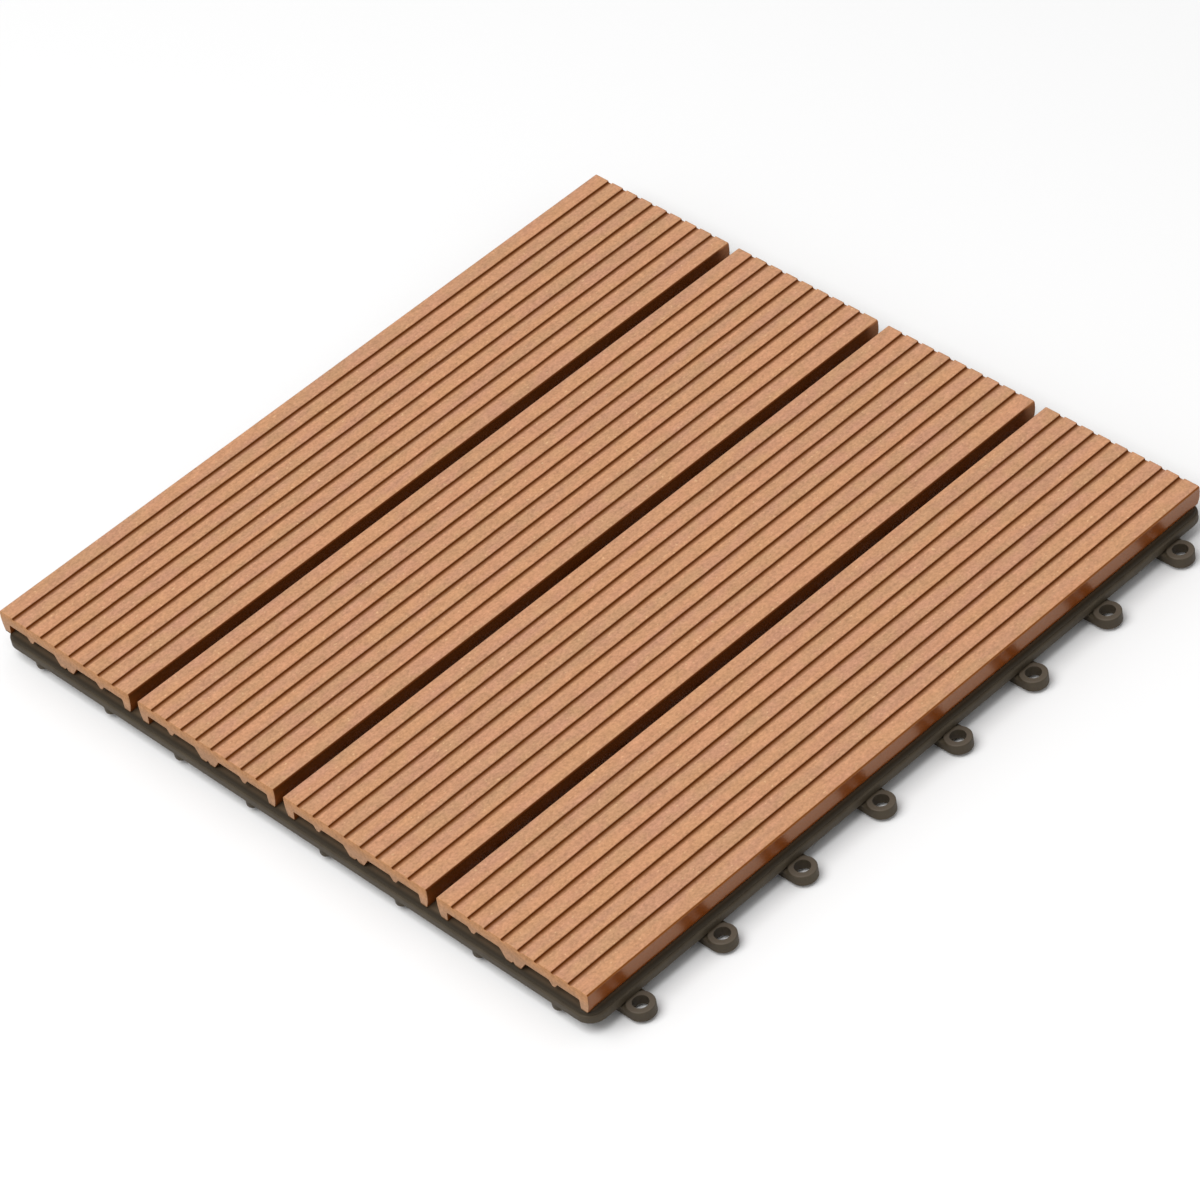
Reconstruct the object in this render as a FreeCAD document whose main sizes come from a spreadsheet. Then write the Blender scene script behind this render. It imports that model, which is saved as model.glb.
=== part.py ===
# Interlocking deck tile: four composite slats screwed to a one-piece moulded grid.
# Millimetres. X runs across the slats, Y along them, Z up.
# The origin is on the floor, at the middle of the square module that the tile fills.
import FreeCAD
import Part
import Sketcher
import math
import os

doc = FreeCAD.newDocument("deck_tile")
sheet = doc.addObject("Spreadsheet::Sheet", "Sizes")

# Driving sizes: alias, value, what it is on the real tile
SIZES = [
    ("module_size", 300, "square that one tile fills in a laid floor"),
    ("tile_height", 20, "floor to tread"),
    ("slat_count", 4, "slats side by side"),
    ("slat_width", 70.6, "a slat at its widest, under its rounded top edges"),
    ("slat_length", 296.2, "a slat from end to end"),
    ("slat_gap", 5, "drain gap between slats"),
    ("slat_thickness", 9.5, "tread to the foot of a slat's legs"),
    ("plate_thickness", 5.65, "solid plate of a slat, over its legs and ribs"),
    ("edge_round", 1, "rounding of a slat's long top edges"),
    ("side_draw", 1.3, "how far a slat's side draws in towards its foot"),
    ("side_bulge", 20.6, "radius of a slat's faintly bulged side"),
    ("foot_round", 1.3, "rounding of a leg's outer foot edge"),
    ("leg_root", 4.3, "leg thickness where it meets the plate"),
    ("leg_draft", 0.35, "how much the leg's inner face leans back"),
    ("rib_place", 19, "small rib to the slat's middle"),
    ("rib_reach", 2.1, "small rib's height under the plate"),
    ("rib_root", 4, "small rib's width at the plate"),
    ("rib_tip", 1.2, "small rib's width at its tip"),
    ("keel_root", 12.2, "middle rib's width at the plate"),
    ("keel_foot", 6.5, "middle rib's width where it stands on the grid"),
    ("notch_width", 1.6, "screw guide notch along the middle rib"),
    ("notch_depth", 0.9, "depth of that notch"),
    ("groove_count", 8, "anti-slip grooves on a slat"),
    ("groove_pitch", 7.81, "groove to groove"),
    ("groove_top", 2.4, "groove width at the tread"),
    ("groove_floor", 1.6, "groove width at its floor"),
    ("groove_depth", 0.8, "groove depth"),
    ("rim_inset", 0.6, "lip of the rim to the edge of the module"),
    ("rim_corner", 6.5, "plan radius of the rim's corners"),
    ("rim_height", 4.8, "grid top to the rim's lower edge"),
    ("rim_wall", 2.2, "thickness of the rim's wall above the lip"),
    ("lip_height", 3, "height of the lip along the rim's lower edge"),
    ("lip_reach", 0.8, "how far the lip stands out from the wall"),
    ("lip_round", 0.7, "rounded upper edge of the lip"),
    ("flange_width", 8, "flat flange inside the rim that carries the slat ends"),
    ("flange_thickness", 2, "its thickness"),
    ("web_thickness", 2, "thickness of the grid's webs"),
    ("webs_per_link", 2, "webs under the slats for each link along a side"),
    ("web_lift", 0.4, "underside of the webs above the rim's lower edge"),
    ("web_drop", 0.6, "top of the long webs under the slats' seat"),
    ("link_count", 8, "loops or pegs on each side"),
    ("loop_reach", 3.1, "loop's hole centre beyond the module's edge"),
    ("loop_hole", 5.8, "diameter of a loop's hole"),
    ("loop_wall", 2.1, "thickness of a loop's ring"),
    ("loop_height", 4.15, "height of a loop"),
    ("loop_round", 0.6, "rounded upper edge of a loop"),
    ("neck_drop", 0.8, "how far a loop's neck lies under the top of its ring"),
    ("loop_root", 8, "heel of a loop, measured in from the lip"),
    ("layer_clearance", 0.1, "air between a loop and the next tile's rim"),
    ("peg_clearance", 0.5, "air round a peg in its loop"),
    ("peg_reach", 3.9, "peg's length under the rim"),
    ("peg_round", 1.7, "rounded end of a peg"),
    ("peg_heel", 7, "block over a peg, measured in from the lip"),
    ("foot_diameter", 9, "a foot at the floor"),
    ("foot_draft", 3, "draft of a foot's side, degrees"),
    ("gate_diameter", 12, "round foot in the middle, where the grid is gated"),
    ("screws_per_slat", 4, "screws along a slat"),
    ("screw_diameter", 3, "screw's shank"),
    ("screw_bite", 6.3, "how far a screw goes into the slat"),
    ("screw_point", 1.4, "length of a screw's point"),
    ("pilot_clearance", 0.05, "air round and over a screw in its pilot hole"),
    ("shank_clearance", 0.35, "air round a screw in its boss"),
    ("boss_diameter", 9, "screw boss in the grid"),
    ("head_diameter", 6.4, "screw's pan head"),
    ("head_height", 1.9, "its height"),
    ("head_round", 0.9, "its rounded edge"),
    ("drive_span", 3.4, "cross recess, from tip to tip"),
    ("drive_blade", 0.8, "cross recess, width of an arm"),
    ("drive_depth", 1, "cross recess, depth"),
]
for row, (alias, size, meaning) in enumerate(SIZES, start=1):
    sheet.set(f"A{row}", meaning)
    sheet.set(f"B{row}", str(size))
    sheet.setAlias(f"B{row}", alias)
doc.recompute()

# Lengths that several pieces share, worked out from the sheet
SLAT_PITCH = "(Sizes.slat_width + Sizes.slat_gap)"
FIRST_SLAT = f"({SLAT_PITCH} * (Sizes.slat_count - 1) / 2)"
GRID_TOP = "(Sizes.tile_height - Sizes.slat_thickness)"
RIM_BOTTOM = f"({GRID_TOP} - Sizes.rim_height)"
LIP_FACE = "(Sizes.module_size / 2 - Sizes.rim_inset)"
WALL_FACE = f"({LIP_FACE} - Sizes.lip_reach)"
WALL_BACK = f"({WALL_FACE} - Sizes.rim_wall)"
LINK_PITCH = "Sizes.module_size / Sizes.link_count"
FIRST_LINK = f"(Sizes.module_size / 2 - {LINK_PITCH} / 2)"
WEB_PITCH = f"({LINK_PITCH} / Sizes.webs_per_link)"
WEB_COUNT = "Sizes.link_count * Sizes.webs_per_link - 1"
FIRST_WEB = f"(Sizes.module_size / 2 - {WEB_PITCH})"
LOOP_CENTRE = "(Sizes.module_size / 2 + Sizes.loop_reach)"
LOOP_TOP = f"({RIM_BOTTOM} - Sizes.layer_clearance)"
LOOP_BOTTOM = f"({LOOP_TOP} - Sizes.loop_height)"
NECK_TOP = f"({LOOP_TOP} - Sizes.neck_drop)"
LOOP_RADIUS = "(Sizes.loop_hole / 2 + Sizes.loop_wall)"
PEG_CENTRE = "(Sizes.module_size / 2 - Sizes.loop_reach)"
PEG_RADIUS = "(Sizes.loop_hole / 2 - Sizes.peg_clearance)"
PEG_BOTTOM = f"({RIM_BOTTOM} - Sizes.peg_reach)"
SCREW_PITCH = "Sizes.module_size / Sizes.screws_per_slat"
FIRST_SCREW = f"(Sizes.module_size / 2 - {SCREW_PITCH} / 2)"


def size_of(expression):
    """Number that an expression on the sheet gives."""
    found = sheet.evalExpression(str(expression))
    return float(getattr(found, "Value", found))


def plane_of(body, role):
    """One of a body's own origin planes or axes."""
    return next(item for item in body.Origin.OriginFeatures if item.Role == role)


def new_body(label):
    body = doc.addObject("PartDesign::Body", label)
    body.Label = label
    return body


def new_sketch(body, name, role, height="0"):
    """Empty sketch on an origin plane, lifted along its normal."""
    sketch = body.newObject("Sketcher::SketchObject", name)
    sketch.AttachmentSupport = [(plane_of(body, role), "")]
    sketch.MapMode = "FlatFace"
    sketch.setExpression("AttachmentOffset.Base.z", height)
    return sketch


def hold(sketch, constraint, expression):
    """Add a dimension to a sketch and bind it to the sheet."""
    index = sketch.addConstraint(constraint)
    sketch.setExpression(f"Constraints[{index}]", expression)


def pin_point(sketch, edge, end, across, up):
    """Bind one end of an edge, or a circle's centre, to its place from the origin."""
    for kind, expression in (("DistanceX", across), ("DistanceY", up)):
        constraint = Sketcher.Constraint(kind, -1, 1, edge, end, size_of(expression))
        hold(sketch, constraint, expression)


def draw_outline(sketch, corners):
    """Closed outline through corners given anticlockwise.

    A corner is (across, up), and a straight edge runs from it to the next. A corner with
    a third item has an arc of that radius instead, with its centre on the inner side.
    """
    points = [FreeCAD.Vector(size_of(c[0]), size_of(c[1]), 0) for c in corners]
    edges = []
    for index, corner in enumerate(corners):
        here = points[index]
        there = points[(index + 1) % len(points)]
        if len(corner) == 2:
            edges.append(sketch.addGeometry(Part.LineSegment(here, there), False))
            continue
        radius = size_of(corner[2])
        half = (there - here) / 2
        left = FreeCAD.Vector(-half.y, half.x, 0).normalize()
        centre = here + half + left * max(radius**2 - half.Length**2, 0) ** 0.5
        angles = [math.atan2(p.y - centre.y, p.x - centre.x) for p in (here, there)]
        circle = Part.Circle(centre, FreeCAD.Vector(0, 0, 1), radius)
        edges.append(sketch.addGeometry(Part.ArcOfCircle(circle, angles[0], angles[1]), False))
    for index, edge in enumerate(edges):
        corner = corners[index]
        sketch.addConstraint(Sketcher.Constraint("Coincident", edges[index - 1], 2, edge, 1))
        pin_point(sketch, edge, 1, corner[0], corner[1])
        if len(corner) == 3:
            hold(sketch, Sketcher.Constraint("Radius", edge, size_of(corner[2])), corner[2])


def draw_circle(sketch, across, up, radius):
    centre = FreeCAD.Vector(size_of(across), size_of(up), 0)
    circle = Part.Circle(centre, FreeCAD.Vector(0, 0, 1), size_of(radius))
    edge = sketch.addGeometry(circle, False)
    pin_point(sketch, edge, 3, across, up)
    hold(sketch, Sketcher.Constraint("Radius", edge, size_of(radius)), radius)


def draw_box(sketch, left, right, low, high):
    draw_outline(sketch, [(left, low), (right, low), (right, high), (left, high)])


def draw_cross(sketch, across, up, span, blade):
    """Two crossed bars, each span long and blade wide."""
    far, near = f"{span} / 2", f"{blade} / 2"
    steps = [
        (far, near),
        (near, near),
        (near, far),
    ]
    corners = []
    for turn in range(4):
        for x, y in steps:
            x, y = [(x, y), (f"-{y}", x), (f"-{x}", f"-{y}"), (y, f"-{x}")][turn]
            corners.append((f"{across} + ({x})", f"{up} + ({y})"))
    draw_outline(sketch, corners)


def pad(body, sketch, length, both_ways=False, draft=None):
    feature = body.newObject("PartDesign::Pad", sketch.Name + "_pad")
    feature.Profile = sketch
    feature.setExpression("Length", length)
    if both_ways:
        feature.SideType = "Symmetric"
    if draft:
        feature.setExpression("TaperAngle", draft)
    return feature


def pocket(body, sketch, length=None, both_ways=False, upwards=False):
    """Cut a sketch out of the body, through all of it where no length is given."""
    feature = body.newObject("PartDesign::Pocket", sketch.Name + "_pocket")
    feature.Profile = sketch
    if both_ways:
        feature.SideType = "Symmetric"
    if length is None:
        feature.Type = "ThroughAll"
    else:
        feature.setExpression("Length", length)
    feature.Reversed = upwards
    return feature


def revolve(body, sketch, axis):
    """Full turn of a sketch about one of its construction lines."""
    feature = body.newObject("PartDesign::Revolution", sketch.Name + "_turn")
    feature.Profile = sketch
    feature.ReferenceAxis = (sketch, [axis])
    feature.Angle = 360
    return feature


def upright_axis(sketch, across):
    """Construction line along the sketch's vertical, for a turned shape."""
    x = size_of(across)
    line = Part.LineSegment(FreeCAD.Vector(x, 0, 0), FreeCAD.Vector(x, 1, 0))
    edge = sketch.addGeometry(line, True)
    pin_point(sketch, edge, 1, across, "0")
    pin_point(sketch, edge, 2, across, "1")
    return "Axis0"


def row_of(body, name, role, length, count, backwards=False):
    """Straight pattern along one of the body's axes, to be used in repeat."""
    pattern = body.newObject("PartDesign::LinearPattern", name)
    pattern.Direction = (plane_of(body, role), [""])
    pattern.setExpression("Length", length)
    pattern.setExpression("Occurrences", count)
    pattern.Reversed = backwards
    return pattern


def quarter_turn(body, name, backwards=False):
    """The same again on the next side of the square, to be used in repeat."""
    pattern = body.newObject("PartDesign::PolarPattern", name)
    pattern.Axis = (plane_of(body, "Z_Axis"), [""])
    pattern.Angle = 90
    pattern.Occurrences = 2
    pattern.Reversed = backwards
    return pattern


def repeat(body, name, features, patterns):
    """Repeat features by one pattern after another."""
    feature = body.newObject("PartDesign::MultiTransform", name)
    feature.Originals = features
    feature.Transformations = patterns
    feature.Refine = False
    body.Tip = feature
    return feature


def make_slat(number):
    """One extruded slat: plate, two legs, small ribs and a notched middle rib."""
    body = new_body(f"slat_{number}")
    top = "Sizes.slat_thickness"
    under = "(Sizes.slat_thickness - Sizes.plate_thickness)"
    half = "(Sizes.slat_width / 2)"
    foot = f"({half} - Sizes.side_draw)"
    leg = f"({half} - Sizes.leg_root)"
    tip = f"({under} - Sizes.rib_reach)"
    right_side = [
        ("Sizes.notch_width / 2", "0"),
        ("Sizes.keel_foot / 2", "0"),
        ("Sizes.keel_root / 2", under),
        ("Sizes.rib_place - Sizes.rib_root / 2", under),
        ("Sizes.rib_place - Sizes.rib_tip / 2", tip),
        ("Sizes.rib_place + Sizes.rib_tip / 2", tip),
        ("Sizes.rib_place + Sizes.rib_root / 2", under),
        (leg, under),
        (f"{leg} + Sizes.leg_draft", "0"),
        (f"{foot} - Sizes.foot_round", "0", "Sizes.foot_round"),
        (foot, "Sizes.foot_round", "Sizes.side_bulge"),
        (half, f"{top} - Sizes.edge_round", "Sizes.edge_round"),
        (f"{half} - Sizes.edge_round", top),
    ]
    # the left side is the right one mirrored, so its arcs start at their other ends
    left_side = []
    for index in range(len(right_side) - 1, -1, -1):
        across, up = right_side[index][:2]
        arc = right_side[index - 1][2:] if index else ()
        left_side.append((f"-({across})", up, *arc))
    notch = [("0", "Sizes.notch_depth")]
    section = new_sketch(body, f"slat_{number}_section", "XZ_Plane")
    draw_outline(section, notch + right_side + left_side)
    pad(body, section, "Sizes.slat_length", both_ways=True)

    groove = new_sketch(body, f"slat_{number}_groove", "XZ_Plane")
    first = "((Sizes.groove_count - 1) / 2 * Sizes.groove_pitch)"
    floor = f"{top} - Sizes.groove_depth"
    draw_outline(
        groove,
        [
            (f"-{first} - Sizes.groove_floor / 2", floor),
            (f"-{first} + Sizes.groove_floor / 2", floor),
            (f"-{first} + Sizes.groove_top / 2", top),
            (f"-{first} - Sizes.groove_top / 2", top),
        ],
    )
    cut = pocket(body, groove, both_ways=True)
    row = row_of(body, f"slat_{number}_groove_row", "X_Axis", f"2 * {first}", "Sizes.groove_count")
    repeat(body, f"slat_{number}_grooves", [cut], [row])

    pilot = new_sketch(body, f"slat_{number}_pilot", "XY_Plane")
    draw_circle(pilot, "0", f"-{FIRST_SCREW}", "(Sizes.screw_diameter / 2 + Sizes.pilot_clearance)")
    hole = pocket(body, pilot, "Sizes.screw_bite + Sizes.pilot_clearance", upwards=True)
    row = row_of(body, f"slat_{number}_pilot_row", "Y_Axis", f"2 * {FIRST_SCREW}", "Sizes.screws_per_slat")
    repeat(body, f"slat_{number}_pilots", [hole], [row])

    body.setExpression("Placement.Base.x", f"{number - 1} * {SLAT_PITCH} - {FIRST_SLAT}")
    body.setExpression("Placement.Base.z", GRID_TOP)
    return body


def rounded_square(half, corner):
    """Corners of a square with rounded corners, half its width to each side."""
    flat = f"({half} - {corner})"
    return [
        (half, f"-{flat}"),
        (half, flat, corner),
        (flat, half),
        (f"-{flat}", half, corner),
        (f"-{half}", flat),
        (f"-{half}", f"-{flat}", corner),
        (f"-{flat}", f"-{half}"),
        (flat, f"-{half}", corner),
    ]


def make_grid():
    """The moulded base: rim with its lip, flange, webs, bosses, feet, loops and pegs."""
    body = new_body("base_grid")
    body.AllowCompound = True

    # rim: the wall, then the lip that stands out along its lower edge
    corner = "(Sizes.rim_corner - Sizes.lip_reach)"
    wall = new_sketch(body, "rim_wall", "XY_Plane", RIM_BOTTOM)
    draw_outline(wall, rounded_square(WALL_FACE, corner))
    draw_outline(wall, rounded_square(WALL_BACK, f"({corner} - Sizes.rim_wall)"))
    pad(body, wall, "Sizes.rim_height")
    lip = new_sketch(body, "rim_lip", "XY_Plane", RIM_BOTTOM)
    draw_outline(lip, rounded_square(LIP_FACE, "Sizes.rim_corner"))
    draw_outline(lip, rounded_square(WALL_BACK, f"({corner} - Sizes.rim_wall)"))
    lip_pad = pad(body, lip, "Sizes.lip_height")
    doc.recompute()
    lip_top = size_of(f"{RIM_BOTTOM} + Sizes.lip_height")
    reach = size_of(LIP_FACE)
    edges = []
    for index, edge in enumerate(lip_pad.Shape.Edges, start=1):
        box = edge.BoundBox
        level = abs(box.ZMin - lip_top) < 0.01 and box.ZLength < 0.01
        farthest = max(abs(box.XMin), abs(box.XMax), abs(box.YMin), abs(box.YMax))
        if level and abs(farthest - reach) < 0.01:
            edges.append(f"Edge{index}")
    rounded = body.newObject("PartDesign::Fillet", "rim_lip_round")
    rounded.Base = (lip_pad, edges)
    rounded.setExpression("Radius", "min(Sizes.lip_round; Sizes.lip_reach * 0.95)")

    # flange that the slat ends stand on
    flange = new_sketch(body, "flange", "XY_Plane", f"{GRID_TOP} - Sizes.flange_thickness")
    draw_outline(flange, rounded_square(f"({WALL_FACE} - Sizes.rim_wall / 2)", corner))
    inner = f"({LIP_FACE} - Sizes.flange_width)"
    draw_box(flange, f"-{inner}", inner, f"-{inner}", inner)
    pad(body, flange, "Sizes.flange_thickness")

    # loops: a ring with a rounded upper edge, a lower neck as wide, and a heel under the rim
    ring = new_sketch(body, "loop_ring", "XZ_Plane", FIRST_LINK)
    axis = upright_axis(ring, LOOP_CENTRE)
    outer = f"{LOOP_CENTRE} + {LOOP_RADIUS}"
    middle = f"{LOOP_CENTRE} + Sizes.loop_hole / 4"
    draw_outline(
        ring,
        [
            (middle, LOOP_BOTTOM),
            (outer, LOOP_BOTTOM),
            (outer, f"{LOOP_TOP} - Sizes.loop_round", "Sizes.loop_round"),
            (f"{outer} - Sizes.loop_round", LOOP_TOP),
            (middle, LOOP_TOP),
        ],
    )
    ring_turn = revolve(body, ring, axis)
    neck = new_sketch(body, "loop_neck", "YZ_Plane", f"{LIP_FACE} - Sizes.loop_root")
    side = LOOP_RADIUS
    middle = f"-{FIRST_LINK}"
    draw_outline(
        neck,
        [
            (f"{middle} - {side}", LOOP_BOTTOM),
            (f"{middle} + {side}", LOOP_BOTTOM),
            (f"{middle} + {side}", f"{NECK_TOP} - Sizes.loop_round", "Sizes.loop_round"),
            (f"{middle} + {side} - Sizes.loop_round", NECK_TOP),
            (f"{middle} - {side} + Sizes.loop_round", NECK_TOP, "Sizes.loop_round"),
            (f"{middle} - {side}", f"{NECK_TOP} - Sizes.loop_round"),
        ],
    )
    neck_pad = pad(body, neck, "Sizes.loop_root + Sizes.rim_inset + Sizes.loop_reach")
    heel = new_sketch(body, "loop_heel", "XY_Plane", LOOP_BOTTOM)
    draw_box(
        heel,
        f"{LIP_FACE} - Sizes.loop_root",
        f"{LIP_FACE} - Sizes.lip_reach",
        f"{middle} - {side}",
        f"{middle} + {side}",
    )
    heel_pad = pad(body, heel, "Sizes.loop_height + Sizes.layer_clearance + Sizes.lip_height")
    hole = new_sketch(body, "loop_hole_cut", "XY_Plane", RIM_BOTTOM)
    draw_circle(hole, LOOP_CENTRE, f"-{FIRST_LINK}", "Sizes.loop_hole / 2")
    hole_cut = pocket(body, hole)
    patterns = [
        row_of(body, "loop_row", "Y_Axis", f"2 * {FIRST_LINK}", "Sizes.link_count"),
        quarter_turn(body, "loop_sides"),
    ]
    repeat(body, "loops", [ring_turn, neck_pad, heel_pad, hole_cut], patterns)

    # pegs: round-ended studs under the rim, each below a block that ties it to a web
    peg = new_sketch(body, "peg", "YZ_Plane", f"-{FIRST_LINK}")
    axis = upright_axis(peg, f"-{PEG_CENTRE}")
    draw_outline(
        peg,
        [
            (f"-{PEG_CENTRE}", PEG_BOTTOM),
            (f"-{PEG_CENTRE} + {PEG_RADIUS} - Sizes.peg_round", PEG_BOTTOM, "Sizes.peg_round"),
            (f"-{PEG_CENTRE} + {PEG_RADIUS}", f"{PEG_BOTTOM} + Sizes.peg_round"),
            (f"-{PEG_CENTRE} + {PEG_RADIUS}", RIM_BOTTOM),
            (f"-{PEG_CENTRE}", RIM_BOTTOM),
        ],
    )
    peg_turn = revolve(body, peg, axis)
    block = new_sketch(body, "peg_heel", "XY_Plane", RIM_BOTTOM)
    draw_box(
        block,
        f"-{FIRST_LINK} - {LOOP_RADIUS}",
        f"-{FIRST_LINK} + {LOOP_RADIUS}",
        f"-{LIP_FACE} + Sizes.lip_reach",
        f"-{LIP_FACE} + Sizes.peg_heel",
    )
    block_pad = pad(body, block, "Sizes.lip_height")
    patterns = [
        row_of(body, "peg_row", "X_Axis", f"2 * {FIRST_LINK}", "Sizes.link_count"),
        quarter_turn(body, "peg_sides", backwards=True),
    ]
    repeat(body, "pegs", [peg_turn, block_pad], patterns)

    # feet in line with the loops and pegs, and the gate foot in the middle
    foot = new_sketch(body, "foot", "XY_Plane")
    draw_circle(foot, f"-{FIRST_LINK}", f"-{FIRST_LINK}", "Sizes.foot_diameter / 2")
    foot_pad = pad(body, foot, f"{RIM_BOTTOM} + Sizes.rim_height / 2", draft="Sizes.foot_draft")
    rows = [
        row_of(body, "foot_row", "X_Axis", f"2 * {FIRST_LINK}", "Sizes.link_count"),
        row_of(body, "foot_rank", "Y_Axis", f"2 * {FIRST_LINK}", "Sizes.link_count"),
    ]
    repeat(body, "feet", [foot_pad], rows)
    gate = new_sketch(body, "gate_foot", "XY_Plane")
    draw_circle(gate, "0", "0", "Sizes.gate_diameter / 2")
    pad(body, gate, GRID_TOP)

    # screw bosses under the middle rib of each slat
    boss = new_sketch(body, "boss", "XY_Plane", RIM_BOTTOM)
    draw_circle(boss, f"-{FIRST_SLAT}", f"-{FIRST_SCREW}", "Sizes.boss_diameter / 2")
    boss_pad = pad(body, boss, "Sizes.rim_height")
    rows = [
        row_of(body, "boss_row", "X_Axis", f"2 * {FIRST_SLAT}", "Sizes.slat_count"),
        row_of(body, "boss_rank", "Y_Axis", f"2 * {FIRST_SCREW}", "Sizes.screws_per_slat"),
    ]
    repeat(body, "bosses", [boss_pad], rows)

    # webs: one along the slats at each link, and closer ones across that carry the slats
    half_web = "Sizes.web_thickness / 2"
    end = f"({WALL_BACK} + Sizes.rim_wall / 2)"
    lift = f"{RIM_BOTTOM} + Sizes.web_lift"
    along = new_sketch(body, "web_along", "XY_Plane", lift)
    for number in range(int(size_of("Sizes.link_count"))):
        middle = f"{number} * {LINK_PITCH} - {FIRST_LINK}"
        draw_box(along, f"{middle} - {half_web}", f"{middle} + {half_web}", f"-{end}", end)
    pad(body, along, "Sizes.rim_height - Sizes.web_lift - Sizes.web_drop")
    across = new_sketch(body, "web_across", "XY_Plane", lift)
    for number in range(int(size_of(WEB_COUNT))):
        middle = f"{number} * {WEB_PITCH} - {FIRST_WEB}"
        draw_box(across, f"-{end}", end, f"{middle} - {half_web}", f"{middle} + {half_web}")
    pad(body, across, "Sizes.rim_height - Sizes.web_lift")

    # clearance holes for the screws, through the bosses and the webs
    shank = new_sketch(body, "shank_hole", "XY_Plane", GRID_TOP)
    radius = "(Sizes.screw_diameter / 2 + Sizes.shank_clearance)"
    for slat in range(int(size_of("Sizes.slat_count"))):
        for screw in range(int(size_of("Sizes.screws_per_slat"))):
            middle = f"{slat} * {SLAT_PITCH} - {FIRST_SLAT}"
            draw_circle(shank, middle, f"{screw} * {SCREW_PITCH} - {FIRST_SCREW}", radius)
    pocket(body, shank)
    return body


def make_screws():
    """Pan-head screws, driven up through the bosses into the slats' middle ribs."""
    body = new_body("slat_screws")
    body.AllowCompound = True
    radius = "(Sizes.screw_diameter / 2)"
    head = "(Sizes.head_diameter / 2)"
    under = f"({RIM_BOTTOM} - Sizes.head_height)"
    tip = f"({GRID_TOP} + Sizes.screw_bite)"
    middle = f"-{FIRST_SLAT}"
    turned = new_sketch(body, "screw", "XZ_Plane", FIRST_SCREW)
    axis = upright_axis(turned, middle)
    draw_outline(
        turned,
        [
            (middle, under),
            (f"{middle} + {head} - Sizes.head_round", under, "Sizes.head_round"),
            (f"{middle} + {head}", f"{under} + Sizes.head_round"),
            (f"{middle} + {head}", RIM_BOTTOM),
            (f"{middle} + {radius}", RIM_BOTTOM),
            (f"{middle} + {radius}", f"{tip} - Sizes.screw_point"),
            (middle, tip),
        ],
    )
    screw_turn = revolve(body, turned, axis)
    drive = new_sketch(body, "screw_drive", "XY_Plane", under)
    draw_cross(drive, middle, f"-{FIRST_SCREW}", "Sizes.drive_span", "Sizes.drive_blade")
    drive_cut = pocket(body, drive, "Sizes.drive_depth", upwards=True)
    rows = [
        row_of(body, "screw_row", "X_Axis", f"2 * {FIRST_SLAT}", "Sizes.slat_count"),
        row_of(body, "screw_rank", "Y_Axis", f"2 * {FIRST_SCREW}", "Sizes.screws_per_slat"),
    ]
    repeat(body, "screws", [screw_turn, drive_cut], rows)
    return body


pieces = [make_grid(), make_screws()]
for number in range(1, int(size_of("Sizes.slat_count")) + 1):
    pieces.append(make_slat(number))
doc.recompute()

# Nothing is written unless every feature and every piece is sound
for item in doc.Objects:
    if "Invalid" in item.State or "Error" in item.State:
        raise RuntimeError(f"{item.Name} did not build: {item.State}")
for piece in pieces:
    if piece.Shape.isNull() or not piece.Shape.isValid():
        raise RuntimeError(f"{piece.Label} has no sound shape")

os.makedirs("parts", exist_ok=True)
for piece in pieces:
    piece.Shape.exportStep(f"parts/{piece.Label}.step")
    box = piece.Shape.BoundBox
    print(
        f"{piece.Label}: {len(piece.Shape.Solids)} solids, {piece.Shape.Volume / 1000:.2f} cm3, "
        f"x {box.XMin:.2f} to {box.XMax:.2f}, y {box.YMin:.2f} to {box.YMax:.2f}, "
        f"z {box.ZMin:.2f} to {box.ZMax:.2f}"
    )
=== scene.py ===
# %% [markdown]
# An interlocking deck tile, dressed for a product picture.
# The real thing is a dark plastic grid with four grooved boards of wood and plastic composite
# screwed onto it. The CAD model fixes every size. This lesson adds what CAD leaves out: boards
# with softened edges, a moulding that shades smoothly, and finishes that hold up close to the
# camera. Lengths are written in millimetres and become Blender's metres where a mesh is made.

import bmesh
import bpy
import numpy as np
from mathutils import Matrix, Vector


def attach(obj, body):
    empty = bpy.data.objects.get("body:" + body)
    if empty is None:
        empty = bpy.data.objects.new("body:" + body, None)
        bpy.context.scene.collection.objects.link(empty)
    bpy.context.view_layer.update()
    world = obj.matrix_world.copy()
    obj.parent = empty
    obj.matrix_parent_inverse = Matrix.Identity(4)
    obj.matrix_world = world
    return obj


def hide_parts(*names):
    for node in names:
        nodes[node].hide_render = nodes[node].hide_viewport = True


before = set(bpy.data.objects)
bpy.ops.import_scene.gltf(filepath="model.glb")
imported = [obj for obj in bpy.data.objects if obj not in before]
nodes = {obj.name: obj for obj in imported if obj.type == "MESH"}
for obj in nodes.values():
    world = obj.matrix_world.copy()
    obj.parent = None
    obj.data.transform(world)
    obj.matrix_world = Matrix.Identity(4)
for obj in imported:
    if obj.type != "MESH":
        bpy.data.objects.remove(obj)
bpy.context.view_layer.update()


def in_mm(box):
    """Both corners of a box in millimetres, rounded for printing."""
    return [tuple(round(float(v) * 1000, 1) for v in corner) for corner in box]


print("CAD nodes:", ", ".join(sorted(nodes)))

# %% [markdown]
# A finish is a small network of shader nodes. Written node by node it is long and hard to read.
# Here one small class wraps a socket, so that 1 - mask or grain * 0.5 writes the Math node for us.
# A second class holds the material and makes every other node through one method, and a third
# adds the few steps that the recipes below are made of: places, noise, ramps and mixes.

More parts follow.
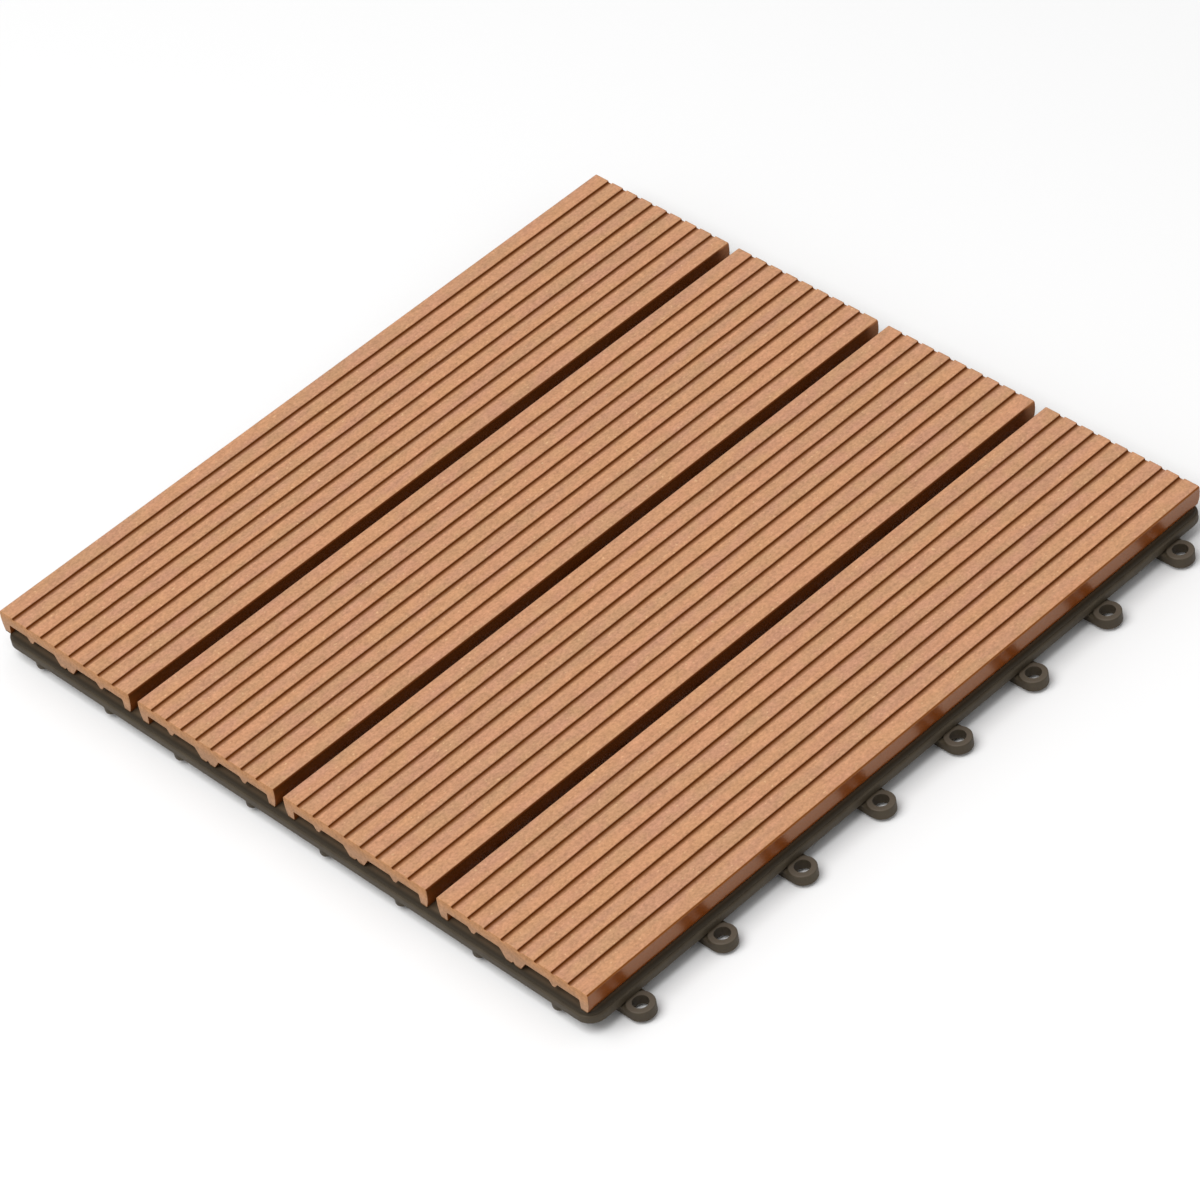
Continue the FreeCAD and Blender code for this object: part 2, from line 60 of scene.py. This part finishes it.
# %% Shader maths as Python
class Value:
    """A number that changes over the surface: one output socket of a shader node."""

    def __init__(self, network, socket):
        self.network = network
        self.socket = socket

    def maths(self, operation, first, second):
        """One Math node on two numbers or values."""
        return self.network.node("ShaderNodeMath", {"operation": operation}, {0: first, 1: second})

    def __add__(self, other):
        return self.maths("ADD", self, other)

    def __radd__(self, other):
        return self.maths("ADD", other, self)

    def __sub__(self, other):
        return self.maths("SUBTRACT", self, other)

    def __rsub__(self, other):
        return self.maths("SUBTRACT", other, self)

    def __mul__(self, other):
        return self.maths("MULTIPLY", self, other)

    def __rmul__(self, other):
        return self.maths("MULTIPLY", other, self)

    def __abs__(self):
        return self.maths("ABSOLUTE", self, 0)


def paint(red, green, blue):
    """Screen colour, 0 to 255, as the linear colour that a shader wants.

    Dark values are divided by 12.92. The others are shifted by 0.055 and raised to the power 2.4.
    """
    screen = np.array([red, green, blue]) / 255
    linear = np.where(screen <= 0.04045, screen / 12.92, ((screen + 0.055) / 1.055) ** 2.4)
    return (*linear.tolist(), 1)


print("mid grey on screen is", round(paint(128, 128, 128)[0], 3), "in linear light")


# %% A material and its nodes
class Network:
    """One material and the nodes behind its shader."""

    def __init__(self, name):
        self.material = bpy.data.materials.new(name)
        self.material.use_nodes = True
        self.tree = self.material.node_tree
        self.shader = self.tree.nodes["Principled BSDF"]
        self.count = 0

    def plug(self, socket, value):
        """Link a value to a socket, or set the socket to a plain number or colour."""
        if isinstance(value, Value):
            self.tree.links.new(value.socket, socket)
        else:
            socket.default_value = value

    def node(self, kind, settings=None, inputs=None, output=0):
        """Make a node: its settings first, then the values or links of its sockets."""
        made = self.tree.nodes.new(kind)
        for name, setting in (settings or {}).items():
            setattr(made, name, setting)
        for key, value in (inputs or {}).items():
            match = [s for s in made.inputs if key in (s.identifier, s.name)]
            self.plug(match[0] if match else made.inputs[key], value)
        self.count += 1
        return Value(self, made.outputs[output])

    def set(self, **sockets):
        """Fill the shader's own sockets, named with underscores for spaces."""
        for name, value in sockets.items():
            self.plug(self.shader.inputs[name.replace("_", " ")], value)


# %% Places, noise, ramps and mixes
class Finish(Network):
    """A material with the helpers that the recipes below need."""

    def place(self):
        """Point on the piece in millimetres, in the tile's own frame."""
        here = self.node("ShaderNodeTexCoord", output="Object")
        inputs = {"Vector": here, "Scale": 1000}
        return self.node("ShaderNodeVectorMath", {"operation": "SCALE"}, inputs)

    def part_of(self, place, axis):
        """One coordinate of a place."""
        return self.node("ShaderNodeSeparateXYZ", None, {"Vector": place}, output=axis)

    def wrapped(self, value, period):
        """Value brought into one period about 0, as the pattern of a repeated shape needs."""
        inputs = {0: value, 1: period / 2, 2: -period / 2}
        return self.node("ShaderNodeMath", {"operation": "WRAP"}, inputs)

    def larger(self, first, second):
        """The larger of two values: where both are masks, it joins them."""
        return self.node("ShaderNodeMath", {"operation": "MAXIMUM"}, {0: first, 1: second})

    def cloud(self, place, blob, detail=2.0, roughness=0.5):
        """Soft noise about 0.5, with blobs of the given millimetres in X, Y and Z."""
        steps = {0: place, 1: tuple(1 / size for size in blob)}
        counted = self.node("ShaderNodeVectorMath", {"operation": "MULTIPLY"}, steps)
        inputs = {"Vector": counted, "Scale": 1.0, "Detail": detail, "Roughness": roughness}
        return self.node("ShaderNodeTexNoise", None, inputs, output="Fac")

    def rise(self, value, low, high):
        """0 below low, 1 above high and an S-shaped ramp between; low may be above high."""
        inputs = {"Value": value, "From Min": low, "From Max": high}
        return self.node("ShaderNodeMapRange", {"interpolation_type": "SMOOTHSTEP"}, inputs)

    def blend(self, start, end, share):
        """Start where the share is 0 and end where it is 1."""
        inputs = {"Factor_Float": share, "A_Color": start, "B_Color": end}
        return self.node("ShaderNodeMix", {"data_type": "RGBA"}, inputs, output=2)

    def shade(self, colour, amount):
        """Colour made lighter or darker by an amount about 1."""
        inputs = {0: colour, "Scale": amount}
        return self.node("ShaderNodeVectorMath", {"operation": "SCALE"}, inputs)

    def relief(self, height, depth):
        """Bump from a height, of which 1 stands for the given millimetres."""
        inputs = {"Height": height, "Distance": depth / 1000, "Strength": 1.0}
        return self.node("ShaderNodeBump", None, inputs)


print("helpers:", ", ".join(name for name in vars(Finish) if not name.startswith("_")))

# %% [markdown]
# The boards are extruded composite: wood flour in plastic. The die leaves a dark, slightly glossy
# skin. A brush takes it off the tread, so that pale wood shows there, and leaves it in the grooves
# and down the sides. A picture wrapped round each board could show this, but it would blur close
# up. Object coordinates give the true place in millimetres, and wrapping the place at the board's
# pitch and then at the groove's tells one strip from another on all four boards at once.

# %% Sizes that the finish and the boards share
TREAD = 20.0
BOARD = {"width": 70.6, "thick": 9.5, "length": 296.2, "pitch": 75.6, "foot": 10.5}
GROOVE = {"count": 8, "pitch": 7.81, "top": 2.4, "floor": 1.6, "depth": 0.8}
# place along Y of a far sawn end; the near ends, beside the camera, lie at minus this
END = BOARD["length"] / 2
print("board:", BOARD)
print("groove:", GROOVE)

# %% Where a point lies on its board and in its groove
composite = Finish("brushed_composite")
place = composite.place()
across = composite.part_of(place, "X")
along = composite.part_of(place, "Y")
up = composite.part_of(place, "Z")
on_board = composite.wrapped(across + BOARD["pitch"] / 2, BOARD["pitch"])
in_groove = composite.wrapped(on_board + GROOVE["pitch"] / 2, GROOVE["pitch"])
print("place on the board:", composite.count, "nodes")

# %% [markdown]
# Brushed composite is uneven at several sizes at once: the grain of the wood flour, short marks
# of the brush, thin streaks that the die drew, and broad bands and patches where the mix came out
# warmer. Each is a cloud of noise, stretched along the board by as much as its cause was. Three
# woods of nearly one lightness keep the hue alive, and pale chips of wood are the tops of one
# more cloud. A cloud averages a half, so the tone starts at 1 less half of all the weights.

# %% Brushed wood of the tread
ROSY_WOOD = paint(180, 133, 109)
TAN_WOOD = paint(177, 136, 105)
WARM_WOOD = paint(184, 134, 100)
PALE_CHIP = paint(208, 170, 132)
# painted light, evening out the lamp's falloff: share of the tone that each millimetre towards the
# far ends adds
PAINTED_LIGHT_FAR_ENDS = 0.0002

patches = composite.cloud(place, (9, 13, 9), detail=2)
bands = composite.cloud(place, (7, 70, 7), detail=1)
streaks = composite.cloud(place, (0.7, 18, 0.7), detail=2)
grain = composite.cloud(place, (0.9, 1.2, 0.9), detail=3, roughness=0.7)
marks = composite.cloud(place, (1.8, 6, 1.8), detail=1)
chips = composite.cloud(place, (1.1, 1.7, 1.1), detail=1)

brushed = composite.blend(ROSY_WOOD, TAN_WOOD, composite.rise(patches, 0.3, 0.7))
brushed = composite.blend(brushed, WARM_WOOD, composite.rise(bands, 0.35, 0.65) * 0.5)
brushed = composite.blend(brushed, PALE_CHIP, composite.rise(chips, 0.69, 0.76) * 0.6)

weighted = [(grain, 1.05), (marks, 0.32), (streaks, 0.16), (bands, 0.2)]
tone = 1 - sum(weight for _, weight in weighted) / 2
for cloud, weight in weighted:
    tone = tone + cloud * weight
# painted light: the tread grows lighter towards the far ends, where the lamp lights it less
tone = tone + along * PAINTED_LIGHT_FAR_ENDS
brushed = composite.shade(brushed, tone)
print("brushed wood:", composite.count, "nodes so far")

# %% [markdown]
# The brush is stiff and wide, so it hardly reaches into a groove. There the skin is left on both
# walls, and a painted shade darkens it to nearly black brown. A painted shadow of the ridge on a
# groove's -X side fades out over that half of its floor. The masks are ramps a tenth of a
# millimetre or so wide: a hard step would flicker where a groove is thin in the picture.

# %% Skin and painted shade in the grooves
# the skin left in the grooves, darkened further by painted shade
GROOVE_SKIN_AND_SHADE = paint(76, 26, 3)
# a place on the board past its last groove, and the place of a wall in its groove
GROOVES_END = 30.8
WALL_PLACE = GROOVE["floor"] / 2

among_grooves = composite.rise(abs(on_board), GROOVES_END + 0.2, GROOVES_END - 0.2)
wall = composite.rise(abs(in_groove), WALL_PLACE - 0.06, WALL_PLACE + 0.06)
wall = wall * composite.rise(up, TREAD - 0.1, TREAD - 0.35)
# painted shadow: the ridge on a groove's -X side shades that half of its floor
painted_groove_shadow = composite.rise(in_groove, 1, -1) * composite.rise(up, TREAD - 0.4, TREAD - 0.7)
grooved_skin_and_shade = composite.larger(wall, painted_groove_shadow) * among_grooves
colour = composite.blend(brushed, GROOVE_SKIN_AND_SHADE, grooved_skin_and_shade)
print("grooves:", composite.count, "nodes so far")

# %% [markdown]
# The sides and the underside keep their skin too. In the gaps a painted shade makes it darkest and
# reddest just under the tread, and browner further down. A painted shade darkens it at the near
# ends, and painted light makes it pale at the far ends. The tile's two outer sides are handled and
# rubbed, so their skin is a warmer brown. Each of these is one mask and one mix over the last.

# %% Skin, painted shade and painted light on the walls of the gaps and on the outer sides
# painted shade: the skin as it looks in the shade just under the tread
RED_SKIN_IN_PAINTED_SHADE = paint(75, 26, 9)
# painted light at the far ends of the gaps
PALE_GAP_END_PAINTED_LIGHT = paint(142, 92, 62)
SIDE_STARTS = BOARD["width"] / 2 - 1.8
OUTER_STARTS = 1.5 * BOARD["pitch"] + 32.6

skin = composite.blend(paint(96, 44, 14), paint(110, 54, 20), patches)
rubbed_skin = composite.blend(paint(104, 48, 10), paint(116, 56, 14), patches)
side = composite.rise(abs(on_board), SIDE_STARTS, SIDE_STARTS + 0.4)
side = side * composite.rise(up, TREAD - 0.05, TREAD - 0.22)
under = composite.rise(up, TREAD - 2, TREAD - 3)
outer = composite.rise(abs(across), OUTER_STARTS, OUTER_STARTS + 0.4)

# painted shade: the gap walls darkest just under the tread and lighter lower down
gap_painted_shade = 0.6 + composite.rise(up, TREAD - 0.3, TREAD - 5.5) * 0.9
# painted shade: darker towards the near ends
gap_painted_shade = gap_painted_shade * (1 - composite.rise(along, -END + 10.1, -END + 1.1) * 0.24)
gap_skin_shade_and_light = composite.shade(skin, gap_painted_shade)
gap_skin_shade_and_light = composite.blend(gap_skin_shade_and_light, RED_SKIN_IN_PAINTED_SHADE, composite.rise(up, TREAD - 1.6, TREAD - 0.6))
# painted light: the walls of the gaps pale towards the far ends
far_end_painted_light = composite.rise(along, END - 6.6, END - 2.6)
gap_skin_shade_and_light = composite.blend(gap_skin_shade_and_light, PALE_GAP_END_PAINTED_LIGHT, far_end_painted_light * 0.9)
side_skin_shade_and_light = composite.blend(gap_skin_shade_and_light, rubbed_skin, outer)
colour = composite.blend(colour, side_skin_shade_and_light, composite.larger(side, under))
print("sides:", composite.count, "nodes so far")

# %% [markdown]
# A sawn end shows the board's inside: the same wood, greyer and paler lower down, with the dark
# skin and a painted shade as a thin line along the foot of the legs and ribs. It could be a second
# material on the two end faces, but as a mask it also covers the broken edge around them, which
# the saw cut too.

# %% Sawn ends
SAWN_TOP = paint(164, 119, 85)
SAWN_LOW = paint(170, 132, 106)
FOOT_SKIN_AND_SHADE = paint(66, 46, 30)

sawn_end = composite.rise(abs(along), END - 0.25, END - 0.1)
sawn = composite.blend(SAWN_TOP, SAWN_LOW, composite.rise(up, 19, 13))
# painted shade with the skin: a dark line at the foot of the legs and ribs, where they meet the
# grid
foot_skin_and_shade_line = composite.rise(up, BOARD["foot"] + 0.9, BOARD["foot"] + 0.4)
sawn = composite.blend(composite.shade(sawn, tone), FOOT_SKIN_AND_SHADE, foot_skin_and_shade_line)
colour = composite.blend(colour, sawn, sawn_end)
print("sawn ends:", composite.count, "nodes so far")

# %% [markdown]
# Up close the tread is faintly rough, which the grain and streaks give as bump. The rubbed outer
# sides are glossy instead, and mirror the loops and the pale floor beside them. For the loops to
# show there at their true height, a side has to shade as a nearly flat one that draws in towards
# its foot, by 9 degrees at its top. The mesh has the true outline, with a slight bulge, so the
# bump adds a slope: a straight part for the lean, and a squared part that takes the bulge away.

# %% Relief and gloss of the composite
RELIEF = 0.05
# a height of 1 stands for RELIEF, so what is in millimetres is divided by it
LEAN = 0.16 / RELIEF
UNBULGE = 0.03 / RELIEF
ORANGE_SHEEN = (1.0, 0.45, 0.05, 1)

glossy = side * outer * (1 - sawn_end)
down = TREAD - up
lean = glossy * (UNBULGE * (down - 1) * (down - 1) - LEAN * down)
height = grain * 0.6 + streaks * 0.4 + lean
normal = composite.relief(height, RELIEF)
composite.set(Base_Color=colour, Roughness=0.7 - glossy * 0.45, Normal=normal)
composite.set(Specular_IOR_Level=0.88, Specular_Tint=ORANGE_SHEEN)
print("composite:", composite.count, "nodes")

# %% [markdown]
# The grid is injection-moulded polypropylene, dark olive grey. Such plastic has a fine matt texture
# from the mould and a slight mottle where regrind was mixed in, so noise at two sizes is enough
# for the plain moulding. Three places differ: painted light makes the tops of the loops paler, a
# painted shade darkens the rim's wall just under the boards, and the rim's top under the board
# ends is painted paler.

# %% Plastic of the grid
DARK_OLIVE = paint(61, 52, 39)
OLIVE = paint(71, 62, 48)
LOOP_TOP_PAINTED_LIGHT = paint(85, 76, 65)
UNDER_BOARD_PAINTED_SHADE = paint(43, 34, 20)
RIM_TOP_PALER = paint(82, 67, 50)
GRID_TOP = BOARD["foot"]
LOOP_TOP = 5.6
# how far from the tile's middle the rim's lip ends; the loops lie beyond it
RIM_FACE = 149.4

plastic = Finish("moulded_plastic")
place = plastic.place()
above = plastic.part_of(place, "Z")
outwards = plastic.larger(abs(plastic.part_of(place, "X")), abs(plastic.part_of(place, "Y")))
mottle = plastic.cloud(place, (9, 9, 9), detail=4, roughness=0.6)
texture = plastic.cloud(place, (0.35, 0.35, 0.35), detail=2)
colour = plastic.blend(DARK_OLIVE, OLIVE, plastic.rise(mottle, 0.3, 0.7))
on_loop = plastic.rise(outwards, RIM_FACE + 0.2, RIM_FACE + 0.8)
# painted light: the top faces of the loops painted paler
loop_top_light = on_loop * plastic.rise(above, LOOP_TOP - 0.4, LOOP_TOP - 0.1)
colour = plastic.blend(colour, LOOP_TOP_PAINTED_LIGHT, loop_top_light * 0.9)
# painted shade: darker towards the top of the grid, just under the boards
colour = plastic.blend(colour, UNDER_BOARD_PAINTED_SHADE, plastic.rise(above, GRID_TOP - 2.2, GRID_TOP - 0.9))
# the rim's top under the board ends is painted paler
on_top = plastic.rise(above, GRID_TOP - 0.1, GRID_TOP - 0.03)
paler_rim_top = on_top * plastic.rise(outwards, RIM_FACE - 1.1, RIM_FACE - 2.7)
colour = plastic.blend(colour, RIM_TOP_PALER, paler_rim_top)
plastic.set(Base_Color=colour, Roughness=0.5 + mottle * 0.2, Normal=plastic.relief(texture, 0.03))
plastic.set(Specular_IOR_Level=0.25)
print("plastic:", plastic.count, "nodes")

# %% [markdown]
# The screws are zinc-plated steel and only show from underneath. Their CAD shape is right, so they
# keep it and only get a material. A metal with a cloudy roughness looks like plating, where an
# even one looks like chrome.

# %% Zinc plating of the screws
zinc = Finish("zinc_plate")
haze = zinc.cloud(zinc.place(), (1.2, 1.2, 1.2), detail=3)
colour = zinc.blend(paint(196, 194, 186), paint(222, 221, 214), haze)
zinc.set(Base_Color=colour, Metallic=1.0, Roughness=0.26 + haze * 0.2)
nodes["slat_screws"].data.materials.clear()
nodes["slat_screws"].data.materials.append(zinc.material)
print("zinc:", zinc.count, "nodes")

# %% [markdown]
# A board comes out of an extrusion die, so its shape is one profile carried along a straight line.
# The CAD profile has knife-sharp grooves. Real ones are softened by the brush that strips the
# skin, and they wander by a hair along the length. So the profile is a list of corners with a
# radius each, and the corners beside a groove may move a little from row to row. The die of the
# real board also set its legs and ribs a little to one side, more so the lower they reach.

# %% Profile of a board
LIP_ROUND = 0.22
FLOOR_ROUND = 0.3
UNDERSIDE = 4.6
NOTCH = {"half": 1.3, "top": 1.6}
KEEL = {"half_foot": 3.25, "half_root": 6.1}
RIB = {"place": 19, "half_tip": 0.6, "half_root": 2, "tip": 2.55}
LEG = {"root": 4.3, "foot": 3.95}
SIDE = {"foot_in": 1.1, "bulge": 0.35, "bulge_up": 4.78, "radius": 20.6}
FOOT_SHIFT = 0.7


def right_half():
    """Corners from the middle's notch to the tread's right edge: across, up, radius, wander."""
    half = BOARD["width"] / 2
    return [
        (NOTCH["half"], 0, 0.2, 0),
        (KEEL["half_foot"], 0, 0.3, 0),
        (KEEL["half_root"], UNDERSIDE, 0.6, 0),
        (RIB["place"] - RIB["half_root"], UNDERSIDE, 0.4, 0),
        (RIB["place"] - RIB["half_tip"], RIB["tip"], 0.25, 0),
        (RIB["place"] + RIB["half_tip"], RIB["tip"], 0.25, 0),
        (RIB["place"] + RIB["half_root"], UNDERSIDE, 0.4, 0),
        (half - LEG["root"], UNDERSIDE, 0.4, 0),
        (half - LEG["foot"], 0, 0.3, 0),
        (half - SIDE["foot_in"], 0, 0.5, 0),
        (half + SIDE["bulge"], SIDE["bulge_up"], SIDE["radius"], 0),
        (half, BOARD["thick"], 0.8, 0),
    ]


def groove_corners():
    """Corners of all grooves from right to left: the lips wander in full, the floors by half."""
    low = BOARD["thick"] - GROOVE["depth"]
    outermost = (GROOVE["count"] - 1) / 2
    found = []
    for middle in (np.arange(GROOVE["count"])[::-1] - outermost) * GROOVE["pitch"]:
        for way in (1, -1):
            lip = (middle + way * GROOVE["top"] / 2, BOARD["thick"], LIP_ROUND, 1)
            floor = (middle + way * GROOVE["floor"] / 2, low, FLOOR_ROUND, 0.5)
            found += [lip, floor] if way == 1 else [floor, lip]
    return found


def board_corners():
    """The whole profile, anticlockwise, each point shifted by its share of the way to the foot."""
    right = right_half()
    left = [(-a, u, r, w) for a, u, r, w in right[::-1]]
    outline = np.array([(0, NOTCH["top"], 0.2, 0)] + right + groove_corners() + left)
    outline[:, 0] -= FOOT_SHIFT * (1 - outline[:, 1] / BOARD["thick"])
    return outline


corners = board_corners()
print("board profile:", len(corners), "corners, of which", 4 * GROOVE["count"], "are in grooves")


# %% Rounding of every corner
def rounded(corners, radii, steps):
    """Round every corner of many outlines at once.

    A corner P with unit directions u and v to its neighbours has its arc's centre on the line
    that halves the angle, r / sin(half angle) away. The arc starts and ends r / tan(half angle)
    from P on either side, and points between turn evenly from one end to the other.
    """
    before = np.roll(corners, 1, axis=1) - corners
    after = np.roll(corners, -1, axis=1) - corners
    u = before / np.linalg.norm(before, axis=2, keepdims=True)
    v = after / np.linalg.norm(after, axis=2, keepdims=True)
    half = np.arccos(np.clip((u * v).sum(2, keepdims=True), -1, 1)) / 2
    r = radii[None, :, None]
    bisector = (u + v) / np.linalg.norm(u + v, axis=2, keepdims=True)
    centre = corners + bisector * r / np.sin(half)
    start = corners + u * r / np.tan(half) - centre
    end = corners + v * r / np.tan(half) - centre
    share = np.linspace(0, 1, steps)[None, None, :, None]
    turn = (np.pi - 2 * half)[:, :, None, :]
    arc = np.sin((1 - share) * turn) * start[:, :, None] + np.sin(share * turn) * end[:, :, None]
    points = centre[:, :, None] + arc / np.sin(turn)
    return points.reshape(len(corners), -1, 2)


ARC_STEPS = 5
profile = rounded(corners[None, :, :2], corners[:, 2], ARC_STEPS)[0]
widest = float(np.ptp(profile[:, 0]))
print("rounded profile:", len(profile), "points,", round(widest, 2), "mm at its widest")

# %% [markdown]
# Rows of that profile are set along the length. The last rows before each sawn end shrink by a
# tenth of a millimetre or so, which gives the end the small broken edge that a saw and a wipe
# leave. A Bevel on a plain extrusion would do that too, but it couldn't let the grooves wander.

# %% Rows along a board
ROWS = 130
FIRST_PLAIN_ROW = 0.6
# distance from the sawn end, and how far the profile shrinks there
BROKEN_EDGE = np.array([(0, 0.14), (0.06, 0.04), (0.2, 0)])
# rms drift in millimetres, and the rms of that many sine waves added up
WANDER = 0.05
WAVES = 5
WAVES_RMS = 1.6


def wander(along, count, seed):
    """Slow sideways drift of each groove edge: five sine waves of 9 to 60 mm, 0.05 mm rms."""
    dice = np.random.default_rng(seed)
    waves = dice.uniform(9, 60, (WAVES, 1, count))
    phases = dice.uniform(0, 2 * np.pi, (WAVES, 1, count))
    return WANDER * np.sin(2 * np.pi * along[None, :, None] / waves + phases).sum(0) / WAVES_RMS


def board_rows():
    """Place of each row along the board, and how far its profile shrinks."""
    plain = np.linspace(-END + FIRST_PLAIN_ROW, END - FIRST_PLAIN_ROW, ROWS)
    near = -END + BROKEN_EDGE[:, 0]
    shrink = BROKEN_EDGE[:, 1]
    rows = np.concatenate([near, plain, -near[::-1]])
    return rows, np.concatenate([shrink, np.zeros(ROWS), shrink[::-1]])


print("rows:", len(board_rows()[0]), "of", ARC_STEPS * len(corners), "points")


# %% Build the four boards
def shade_smooth(mesh, sharp):
    """Smooth shading, but for edges that turn by more than the given degrees."""
    mesh.polygons.foreach_set("use_smooth", np.ones(len(mesh.polygons), bool))
    mesh.set_sharp_from_angle(angle=np.radians(sharp))


def board_points(number):
    """Points by row and place in the profile: outline(row) - outward normal * shrink(row)."""
    along, shrink = board_rows()
    places = np.repeat(corners[None, :, :2], len(along), axis=0)
    places[:, :, 0] += wander(along, len(corners), seed=number) * corners[:, 3]
    outline = rounded(places, corners[:, 2], ARC_STEPS)
    edge = np.roll(outline, -1, axis=1) - np.roll(outline, 1, axis=1)
    outward = np.stack([edge[..., 1], -edge[..., 0]], 2)
    outward = outward / np.linalg.norm(edge, axis=2, keepdims=True)
    outline = outline - outward * shrink[:, None, None]
    rows, around = outline.shape[:2]
    points = np.empty((rows, around, 3))
    points[..., 0] = outline[..., 0] + (number - 2.5) * BOARD["pitch"]
    points[..., 1] = along[:, None]
    points[..., 2] = outline[..., 1] + BOARD["foot"]
    return points


def make_board(number):
    """One board: four-sided faces between neighbouring rows, and a flat face at each sawn end."""
    points = board_points(number)
    rows, around = points.shape[:2]
    index = np.arange(rows * around).reshape(rows, around)
    here, beside = index[:-1], np.roll(index, -1, axis=1)[:-1]
    above, over = index[1:], np.roll(index, -1, axis=1)[1:]
    quads = np.stack([here, above, over, beside], 2).reshape(-1, 4)
    faces = quads.tolist() + [index[0].tolist(), index[-1][::-1].tolist()]
    mesh = bpy.data.meshes.new(f"board_{number}")
    mesh.from_pydata((points.reshape(-1, 3) / 1000).tolist(), [], faces)
    shade_smooth(mesh, sharp=32)
    mesh.materials.append(composite.material)
    mesh.update()
    piece = bpy.data.objects.new(f"board_{number}", mesh)
    bpy.context.scene.collection.objects.link(piece)
    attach(piece, "root")
    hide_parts(f"slat_{number}")
    return piece


boards = [make_board(number) for number in range(1, 5)]
print("boards:", [len(piece.data.polygons) for piece in boards], "faces each")
print("first board in mm:", in_mm((boards[0].bound_box[0], boards[0].bound_box[6])))

# %% [markdown]
# The grid's CAD mesh is loose triangles, so it can only shade flat. A copy with its doubles merged
# shades smoothly over the rounded loops and lip, and weighted normals keep the flat walls flat.
# Remodelling it would gain nothing, because its shape is already the moulding's own.

# %% Smooth copy of the moulded grid
MERGE_WITHIN = 0.002
grid_mesh = nodes["base_grid"].data.copy()
work = bmesh.new()
work.from_mesh(grid_mesh)
bmesh.ops.remove_doubles(work, verts=work.verts, dist=MERGE_WITHIN / 1000)
work.to_mesh(grid_mesh)
work.free()
shade_smooth(grid_mesh, sharp=28)
grid_mesh.materials.clear()
grid_mesh.materials.append(plastic.material)
moulding = bpy.data.objects.new("grid_moulding", grid_mesh)
bpy.context.scene.collection.objects.link(moulding)
even = moulding.modifiers.new("Even shading", "WEIGHTED_NORMAL")
even.keep_sharp = True
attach(moulding, "root")
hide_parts("base_grid")
print("grid:", len(grid_mesh.vertices), "corners,", len(grid_mesh.polygons), "triangles")

# %% [markdown]
# The picture is a plain studio shot. A white sky lights every side softly, so that even the dark
# grid can be read. One broad lamp stands high in front of the near ends: it brightens the tread
# and the sawn ends and shines along the grooves, so that both their walls look alike. It is large
# and close, which keeps the shadows soft, and the pale floor throws light back up at the sides.
# The Standard view shows colours as they were painted, where Blender's own default greys them.

# %% Floor and sky
floor_paint = Finish("pale_floor")
floor_paint.set(Base_Color=(0.82, 0.82, 0.82, 1), Roughness=0.8)
bpy.ops.mesh.primitive_plane_add(size=12, location=(0, 0, 0))
floor = bpy.context.object
floor.name = "studio_floor"
floor.data.materials.append(floor_paint.material)

sky = bpy.data.worlds.new("soft_sky")
sky.use_nodes = True
sky.node_tree.nodes["Background"].inputs["Color"].default_value = (1, 1, 1, 1)
sky.node_tree.nodes["Background"].inputs["Strength"].default_value = 0.65
bpy.context.scene.world = sky
print("floor:", floor.dimensions.x, "m square")

# %% Key light
TOWARDS_LIGHT = Vector((0.0, -0.6, 1.3)).normalized()
LIGHT_DISTANCE = 2.2
light = bpy.data.lights.new("key_light", "AREA")
light.size = 1.6
light.energy = 39
lamp = bpy.data.objects.new("key_light", light)
lamp.location = TOWARDS_LIGHT * LIGHT_DISTANCE
lamp.rotation_euler = TOWARDS_LIGHT.to_track_quat("Z", "Y").to_euler()
bpy.context.scene.collection.objects.link(lamp)
bpy.context.scene.view_settings.view_transform = "Standard"
print("light at", [round(v, 2) for v in lamp.location], "m,", light.energy, "W")

# %% [markdown]
# The camera stands where the photographer stood. A fit of the tile's known corners to the picture
# gave a distance, a heading, a tilt and a slight roll, and a long lens. The camera is turned at
# the point that it aims at and then backed off, so each of those can be changed by itself.

# %% Camera
LENS = 153.355
HEADING, TILT, ROLL = np.radians((53.2343, 47.8344, -11.4877))
AIM = Vector((0.020864, -0.016426, 0.02))
DISTANCE = 1.747749

camera_data = bpy.data.cameras.new("camera")
camera_data.sensor_width = 36
camera_data.lens = LENS
camera_data.clip_end = 20
camera = bpy.data.objects.new("camera", camera_data)
turn = Matrix.Rotation(HEADING, 4, "Z") @ Matrix.Rotation(TILT, 4, "X")
turn = turn @ Matrix.Rotation(ROLL, 4, "Z")
camera.matrix_world = Matrix.Translation(AIM) @ turn @ Matrix.Translation((0, 0, DISTANCE))
bpy.context.scene.collection.objects.link(camera)
bpy.context.scene.camera = camera
print("camera at", [round(v, 4) for v in camera.matrix_world.translation])

# %% Update the scene
bpy.context.view_layer.update()
